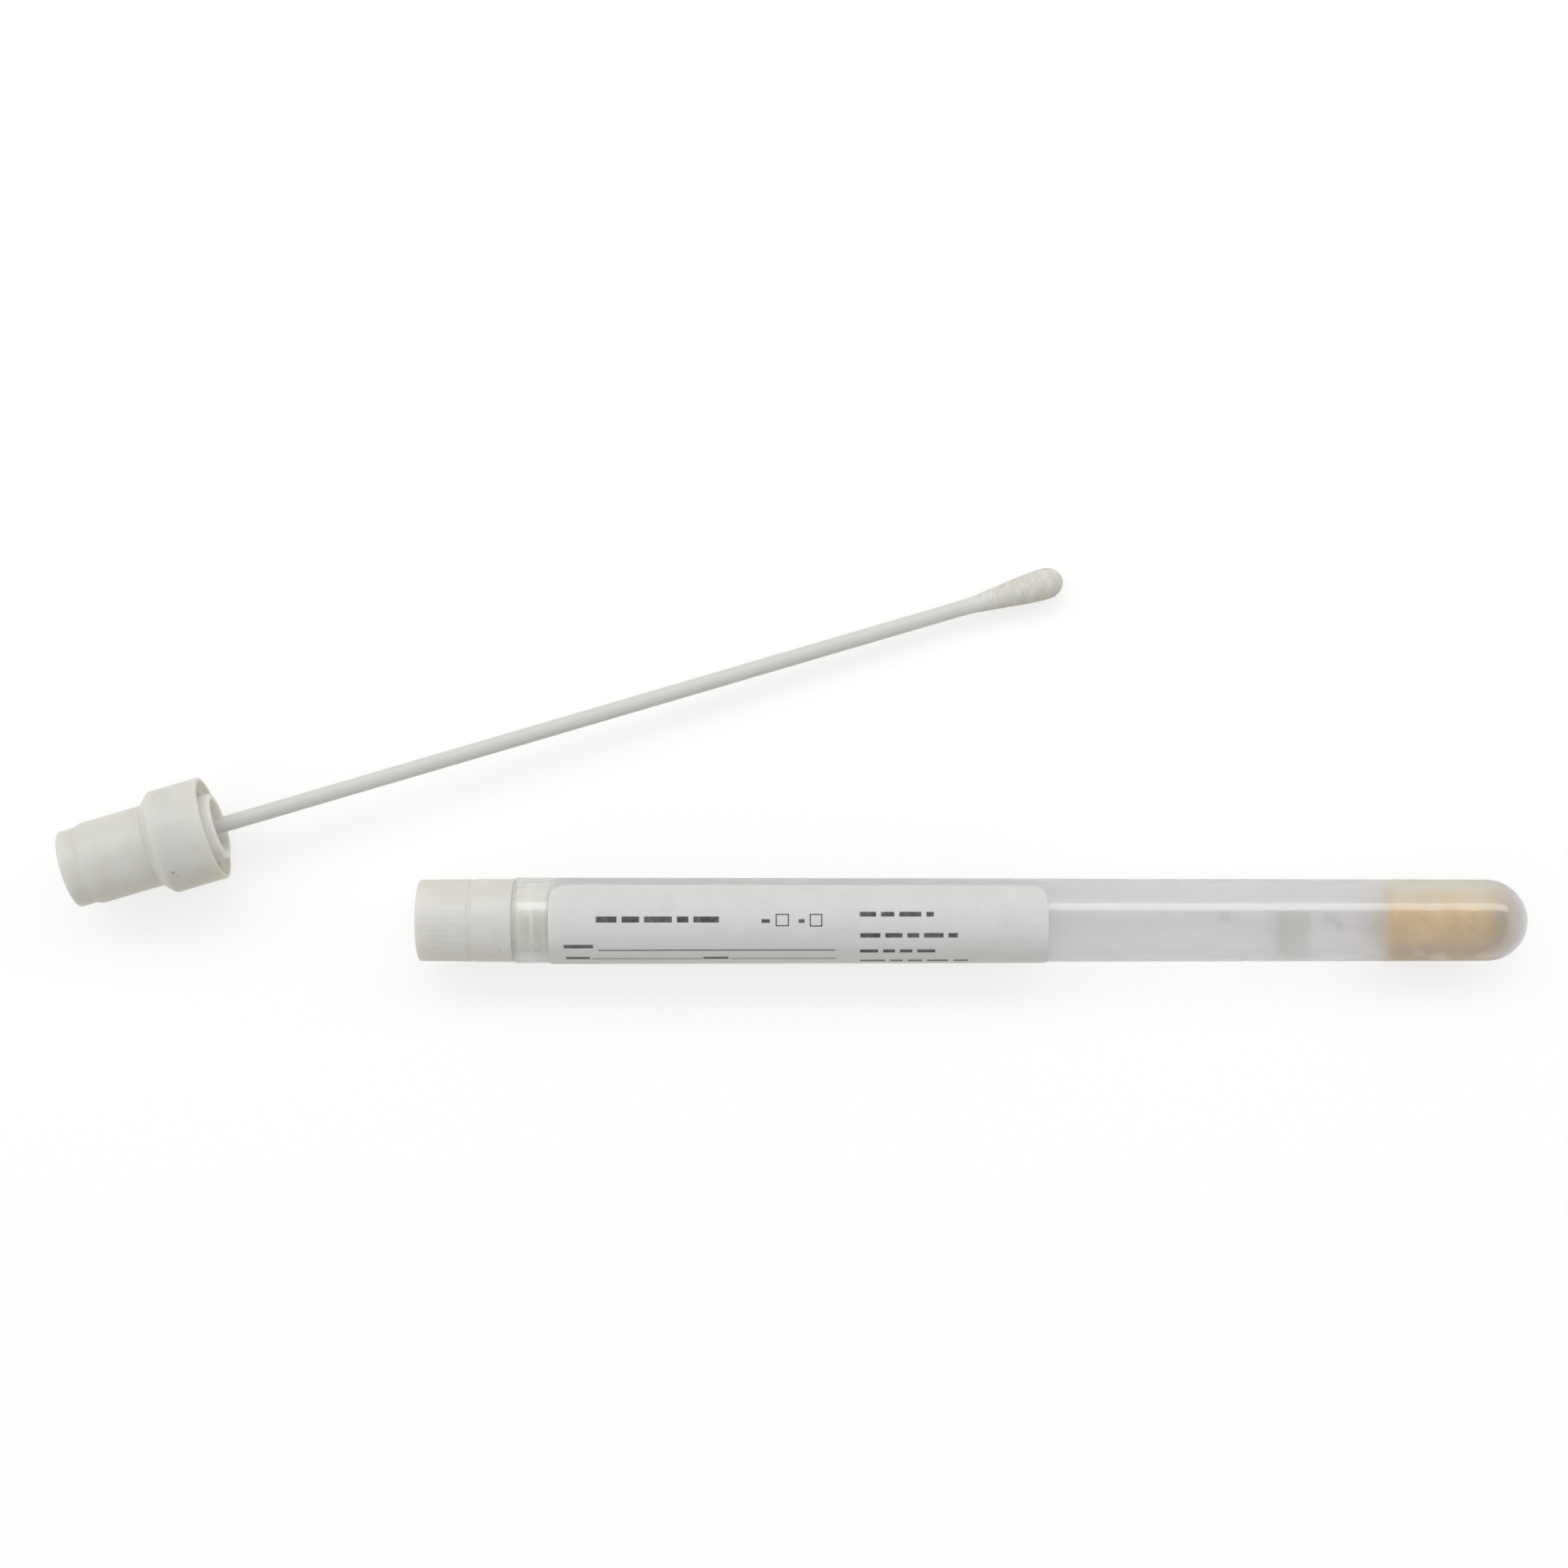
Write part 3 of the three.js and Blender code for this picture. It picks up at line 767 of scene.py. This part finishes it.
def foamSurface():
    material, start = startMaterial("openFoam", IOR=1.4, Sheen_Weight=0.15, Sheen_Roughness=0.6)
    spot = localPlace(start, tubeSeat)
    sway = spot.node("ShaderNodeTexNoise", None, {"Vector": spot, "Scale": 1.4}, "Color")
    sway = stretched(sway, (0.5, 0.5, 0.5))
    warped = spot.node("ShaderNodeVectorMath", {"operation": "ADD"}, {0: spot, 1: sway})
    pores = cells(warped, 2.4, feature="SMOOTH_F1")
    small = cells(warped, 5.5)
    mottle = grain(stretched(spot, (0.8, 1, 1)), 0.55, 4, 0.6)
    patch = grain(spot, 0.2, 2)
    colour = mixed(rise(mottle, 0.34, 0.66), foam["tone"], foam["paleTone"])
    colour = mixed(rise(patch, 0.45, 0.68) * 0.55, colour, foam["patchTone"])
    colour = mixed(1 - rise(pores, 0.12, 0.45), colour, foam["poreTone"])
    # painted shade darkens the small pits
    colour = mixed((1 - rise(small, 0.05, 0.22)) * 0.5, colour, foam["pitShadeTone"])
    # painted light makes the upper side, toward the light, paler, as if the foam stood back from the wall
    # there, though its mesh does not; painted shade darkens the lower side and, on that side, the round end
    x, y = spot.split()[:2]
    drawnBack = rise(y + (mottle - 0.5) * 3, 1.6, 3.0)
    endShade = rise(x + (mottle - 0.5) * 5, 145.0, 149.5) * (1 - drawnBack)
    colour = mixed(drawnBack * 0.9, colour, foam["litUpperTone"])
    # painted shade: the lower side is darker
    low = rise(y * -1 + (mottle - 0.5) * 2, 2.0, 5.0)
    colour = mixed(low * 0.7, colour, foam["lowerShadeTone"])
    colour = mixed(endShade * 0.85, colour, foam["endShadeTone"])
    height = pores * -1.0 + small * 0.4
    return dress(material, height, 0.06, Base_Color=colour, Roughness=0.9 + (mottle - 0.5) * 0.12)


def foamBlockMesh():
    start = foam["end"] - foam["length"]
    radius = boreRadiusAt(foam["end"]) - foam["clear"]
    faceRadius = boreRadiusAt(start) - foam["clear"]
    corners = [(start, 0), (start, faceRadius, foam["edge"])]
    corners += arc(foam["end"] - radius, 0, radius, radius, 90, 0, 24)
    made = turned(divided(softened(corners), foam["longest"]), foam["around"])
    middle = Vector(((start + foam["end"]) / 2, 0, 0))
    made.normal_update()
    moves = []
    for vertex in made.verts:
        # mostly pressed to the wall, with hollows between
        lump = noise.fractal(vertex.co * 0.42 + middle, 0.6, 2.1, 3) - 0.05
        pit = 0.5 + 0.5 * noise.noise(vertex.co * 2.6)
        pit = pit * pit
        # the round end is drawn back from the dome
        short = foam["drawnBack"] * min(max((vertex.co.x - foam["end"] + 2) / 2, 0), 1) ** 2
        depth = foam["crumple"] * min(max(lump, 0), 1) + foam["pores"] * pit
        moves.append(vertex.normal * -depth - Vector((short, 0, 0)))
    for vertex, move in zip(made.verts, moves):
        vertex.co += move
    return made


foamBlock = makePiece("foamBlock", foamBlockMesh(), foamSurface())
settle(layPiece(foamBlock, tubeSeat, sharp=180), "tube_body", "foam_plug")


# the swab's handle: collar, grip, flare and skirt round a hollow plug that grips the stick

handle = {"collarRadius": 5.93, "collar": 2.55, "step": 0.95, "gripRadius": 6.3, "grip": 9.5, "flare": 1.6,
          "skirt": 7.85, "skirtWall": 0.955, "skirtClear": 0.5, "edge": 0.3, "leadIn": 0.4,
          "leadInLength": 1.4, "grooveDepth": 7.3, "plugProud": 1.0, "endWall": 2.0, "bossRadius": 2.1,
          "bossRecess": 1.3,
          "webs": 4, "web": 0.9, "webRecess": 1.9, "webSink": 0.15, "stickSeat": 12.5, "around": 192,
          "tones": ((0.75, 0.745, 0.70), (0.715, 0.705, 0.65), (0.795, 0.785, 0.75)),
          "specks": ((16.0, 40.0, 7.9, 0.4), (16.45, 45.5, 7.96, 0.2)), "hollowFrom": 15.5,
          "hollowShare": 0.85}
stick = {"radius": 1.2, "reach": 135.25, "clear": 0.05, "cover": 3.0, "around": 48,
         "tone": (0.72, 0.715, 0.70), "cloudTone": (0.70, 0.692, 0.67), "scuffTone": (0.62, 0.605, 0.575)}
handleLength = handle["collar"] + handle["step"] + handle["grip"] + handle["flare"] + handle["skirt"]
skirtBore = tube["mouth"] + handle["skirtClear"]
skirtRadius = skirtBore + handle["skirtWall"]
swabLength = handleLength + stick["reach"]
plugEnd = handleLength + handle["plugProud"]


def handleProfile():
    gripStart = handle["collar"] + handle["step"]
    flareStart = gripStart + handle["grip"]
    skirtStart = flareStart + handle["flare"]
    grooveFloor = handleLength - handle["grooveDepth"]
    core = plug["radius"] - plug["wall"]
    hole = stick["radius"] + stick["clear"]
    seatFloor = handleLength - handle["stickSeat"] - stick["clear"]
    corners = [
        (0, 0),
        (0, handle["collarRadius"], handle["edge"]),
        (handle["collar"], handle["collarRadius"], 0.25),
        (gripStart, handle["gripRadius"], 0.35),
        (flareStart, handle["gripRadius"], 0.4),
        (skirtStart, skirtRadius, 0.6),
        (handleLength, skirtRadius, handle["edge"]),
        (handleLength, skirtBore + handle["leadIn"], 0.08),
        (handleLength - handle["leadInLength"], skirtBore, 0.8),
        (grooveFloor, skirtBore, 0.2),
        (grooveFloor, plug["radius"], 0.12),
        *plugSide(grooveFloor, plugEnd - grooveFloor)[1:],
        (plugEnd, core, 0.12),
        (handle["endWall"], core, 0.4),
        (handle["endWall"], handle["bossRadius"], 0.3),
        (plugEnd - handle["bossRecess"], handle["bossRadius"], 0.2),
        (plugEnd - handle["bossRecess"], hole, 0.08),
        (seatFloor, hole),
        (seatFloor, 0),
    ]
    return divided(softened(corners), 2.5)


def bossWebs(material, sizes):
    # flat webs round the boss, each sunk a little into the boss and into the plug's wall
    tree, start, given = newTree("bossWebs", sizes)
    span = given["Outer"] - given["Inner"]
    length = given["To"] - given["From"]
    size = start.node("ShaderNodeCombineXYZ", None, {0: length, 1: given["Thickness"], 2: span})
    inputs = {"Size": size, "Vertices X": 8, "Vertices Y": 2, "Vertices Z": 3}
    block = start.node("GeometryNodeMeshCube", None, inputs)
    middle = {0: (given["From"] + given["To"]) * 0.5, 2: (given["Inner"] + given["Outer"]) * 0.5}
    offset = start.node("ShaderNodeCombineXYZ", None, middle)
    web = start.node("GeometryNodeTransform", None, {"Geometry": block, "Translation": offset})
    points = start.node("GeometryNodeMeshLine", None, {"Count": given["Webs"], "Offset": (0, 0, 0)})
    index = start.node("GeometryNodeInputIndex")
    turn = start.node("ShaderNodeCombineXYZ", None, {0: index * fullTurn / given["Webs"]})
    inputs = {"Points": points, "Instance": web, "Rotation": turn}
    spokes = start.node("GeometryNodeInstanceOnPoints", None, inputs)
    joined = start.node("GeometryNodeJoinGeometry", None, {0: given["Geometry"]})
    tree.links.new(spokes.socket, joined.socket.node.inputs[0])
    endTree(tree, joined, material)
    return tree


webSizes = {"Webs": handle["webs"], "From": handle["endWall"] - 0.2, "To": plugEnd - handle["webRecess"],
            "Inner": handle["bossRadius"] - handle["webSink"],
            "Outer": plug["radius"] - plug["wall"] + handle["webSink"],
            "Thickness": handle["web"]}
handlePlastic = mouldedPlastic(
    "handlePolyethylene", swabSeat, handle["tones"], ((0.0, 0.5), (handleLength, 0.3), (15.0, 0.4)),
    handle["specks"],
    {"from": handle["hollowFrom"], "radius": skirtBore + 0.1, "share": handle["hollowShare"]})
swabHandle = makePiece("swabHandle", turned(handleProfile(), handle["around"]), handlePlastic)
runTree(swabHandle, bossWebs(handlePlastic, webSizes), webSizes)
settle(layPiece(swabHandle, swabSeat), "tube_body", "swab_handle")


# the stick: extruded plastic, faintly drawn along its length

def stickSurface():
    material, start = startMaterial("stickPlastic", IOR=1.5, Subsurface_Weight=0.2,
                                    Subsurface_Radius=(1.0, 0.95, 0.88), Subsurface_Scale=0.0012)
    spot = localPlace(start, swabSeat)
    drawn = grain(stretched(spot, (0.03, 3, 3)), 1.0, 3)
    scuff = rise(grain(stretched(spot, (0.25, 2, 2)), 0.9, 4, 0.7), 0.58, 0.78)
    cloud = grain(stretched(spot, (0.1, 0.4, 0.4)), 0.5, 2)
    fine = grain(spot, 6.0, 2)
    colour = mixed(rise(cloud, 0.35, 0.65), stick["tone"], stick["cloudTone"])
    colour = mixed(scuff * 0.4, colour, stick["scuffTone"])
    roughness = 0.36 + (drawn - 0.5) * 0.2 + scuff * 0.14 + (fine - 0.5) * 0.08
    height = drawn * 0.8 - scuff * 0.4 + fine * 0.1
    return dress(material, height, 0.015, Base_Color=colour, Roughness=roughness)


stickEnds = (handleLength - handle["stickSeat"], swabLength - stick["cover"])
stickProfile = softened([(stickEnds[0], 0), (stickEnds[0], stick["radius"], 0.1),
                         (stickEnds[1], stick["radius"], 0.1), (stickEnds[1], 0)])
swabStick = makePiece("swabStick", turned(divided(stickProfile, 5), stick["around"]), stickSurface())
settle(layPiece(swabStick, swabSeat), "tube_body", "swab_shaft")


# the bud: fibre wound thin at its neck, swelling to a round nose

bud = {"length": 16.3, "radius": 2.42, "nose": 2.8, "neckWall": 0.04, "skin": 0.07, "around": 96,
       "strands": 420, "points": 16, "fibre": 0.016, "seed": 11, "start": 0.006, "sink": 0.004, "taper": 2.5,
       "steps": 28, "tone": (0.785, 0.777, 0.73), "paleTone": (0.83, 0.82, 0.785),
       "ivoryTone": (0.755, 0.745, 0.62), "bareTone": (0.75, 0.742, 0.725)}


def budProfile(skin):
    start = swabLength - bud["length"]
    noseStart = swabLength - bud["nose"]
    swell = noseStart - start
    neck = stick["radius"] + stick["clear"] + bud["neckWall"]
    ends = (start, start + 0.35 * swell, noseStart - 0.3 * swell, noseStart)
    heights = (stick["radius"] + bud["start"], neck, bud["radius"] - skin, bud["radius"] - skin)
    outside = []
    for step in range(bud["steps"] + 1):
        t = step / bud["steps"]
        shares = ((1 - t) ** 3, 3 * t * (1 - t) ** 2, 3 * t * t * (1 - t), t ** 3)
        outside.append(tuple(sum(s * v for s, v in zip(shares, values)) for values in (ends, heights)))
    hole = stick["radius"] + stick["clear"]
    holeEnd = swabLength - stick["cover"] + stick["clear"]
    nose = arc(noseStart, 0, bud["nose"] - skin, bud["radius"] - skin, 90, 0, 18)[1:]
    # the winding runs out to nothing on the stick
    inside = [(holeEnd, 0), (holeEnd, hole), (start + bud["taper"], hole)]
    return [*inside, (start, stick["radius"] - bud["sink"]), *outside, *nose]


def woundFibre(material, sizes):
    # strands laid round the bud in crossing turns, dropped onto its surface from outside
    tree, start, given = newTree("woundFibre", sizes)
    points = start.node("GeometryNodePoints", None, {"Count": given["Strands"] * given["Points"]})
    index = start.node("GeometryNodeInputIndex")
    strand = ((index + 0.01) / given["Points"]).maths("FLOOR")
    share = (index - strand * given["Points"]) / (given["Points"] - 1)

    def pick(low, high, offset):
        inputs = {"Min": low, "Max": high, "ID": strand, "Seed": given["Seed"] + offset}
        picked = start.node("FunctionNodeRandomValue", {"data_type": "FLOAT"}, None, 1)
        for socket in picked.socket.node.inputs:
            if socket.enabled and socket.name in inputs:
                feed(tree, socket, inputs[socket.name])
        return picked
    begin = given["From"] + pick(0.14, 0.92, 1) * (given["To"] - given["From"])
    x = begin + share * pick(1.5, 6.5, 2)
    x = x.maths("MAXIMUM", given["From"] + 0.03).maths("MINIMUM", given["To"] - 0.05)
    leaning = pick(0.0, 1.0, 3)
    way = leaning.maths("GREATER_THAN", 0.24) * 2 - 1
    angle = pick(0.0, fullTurn, 4) + share * way * pick(1.4, 5.2, 5)
    lift = given["Fibre"] * pick(-0.2, 1.6, 6) + (share - 0.5) * (share - 0.5) * pick(-0.02, 0.16, 7)
    out = start.node("ShaderNodeCombineXYZ", None, {1: angle.maths("SINE"), 2: angle.maths("COSINE")})
    axis = start.node("ShaderNodeCombineXYZ", None, {0: x})
    far = start.node("ShaderNodeVectorMath", {"operation": "MULTIPLY_ADD"}, {0: out, 1: (6, 6, 6), 2: axis})
    inward = stretched(out, (-1, -1, -1))
    inputs = {"Target Geometry": given["Geometry"], "Source Position": far, "Ray Direction": inward,
              "Ray Length": 10.0}
    hit = start.node("GeometryNodeRaycast", None, inputs, "Hit Position")
    liftOut = start.node("ShaderNodeVectorMath", {"operation": "SCALE"}, {0: out, "Scale": lift})
    spot = start.node("ShaderNodeVectorMath", {"operation": "ADD"}, {0: hit, 1: liftOut})
    placed = start.node("GeometryNodeSetPosition", None, {"Geometry": points, "Position": spot})
    inputs = {"Points": placed, "Curve Group ID": strand, "Weight": share}
    curves = start.node("GeometryNodePointsToCurves", None, inputs)
    ring = start.node("GeometryNodeCurvePrimitiveCircle", None, {"Resolution": 3, "Radius": given["Fibre"]})
    inputs = {"Curve": curves, "Profile Curve": ring, "Fill Caps": True}
    threads = start.node("GeometryNodeCurveToMesh", None, inputs)
    joined = start.node("GeometryNodeJoinGeometry", None, {0: given["Geometry"]})
    tree.links.new(threads.socket, joined.socket.node.inputs[0])
    endTree(tree, joined, material)
    return tree


def fibreSurface():
    material, start = startMaterial("budFibre", IOR=1.4, Sheen_Weight=0.15, Sheen_Roughness=0.5)
    spot = localPlace(start, swabSeat)
    x, y, z = spot.split()
    turn = y.maths("ARCTAN2", z)
    inputs = {0: x * 3.2 + turn * 1.1, 1: turn * 0.9 - x * 0.4, 2: x * 0.2}
    lay = spot.node("ShaderNodeCombineXYZ", None, inputs)
    windings = grain(stretched(lay, (3.2, 0.5, 1)), 1.5, 4, 0.6)
    fuzz = grain(spot, 9.0, 3, 0.7)
    lumps = grain(spot, 0.7, 3)
    budStart = swabLength - bud["length"]
    colour = mixed(rise(windings, 0.3, 0.7), bud["tone"], bud["paleTone"])
    # ivory where the winding is thick, as plain as the stick at the neck
    thick = rise(x, budStart + 3, swabLength - 4)
    colour = mixed(thick * rise(lumps, 0.35, 0.65) * 0.6, colour, bud["ivoryTone"])
    bare = 1 - rise(x, budStart + 0.5, budStart + 5)
    colour = mixed(bare, colour, bud["bareTone"])
    height = (windings * 0.8 + fuzz * 0.3) * rise(x, budStart, budStart + 5)
    roughness = 0.82 + (fuzz - 0.5) * 0.16 - bare * 0.4
    return dress(material, height, 0.03, Base_Color=colour, Roughness=roughness)


fibrePlain = fibreSurface()
budSizes = {"Strands": bud["strands"], "Points": bud["points"], "Seed": bud["seed"],
            "From": swabLength - bud["length"], "To": swabLength - bud["skin"], "Fibre": bud["fibre"]}
fibreBud = makePiece("fibreBud", turned(divided(budProfile(bud["skin"]), 0.5), bud["around"]), fibrePlain)
runTree(fibreBud, woundFibre(fibrePlain, budSizes), budSizes)
settle(layPiece(fibreBud, swabSeat, sharp=60), "tube_body", "swab_tip")
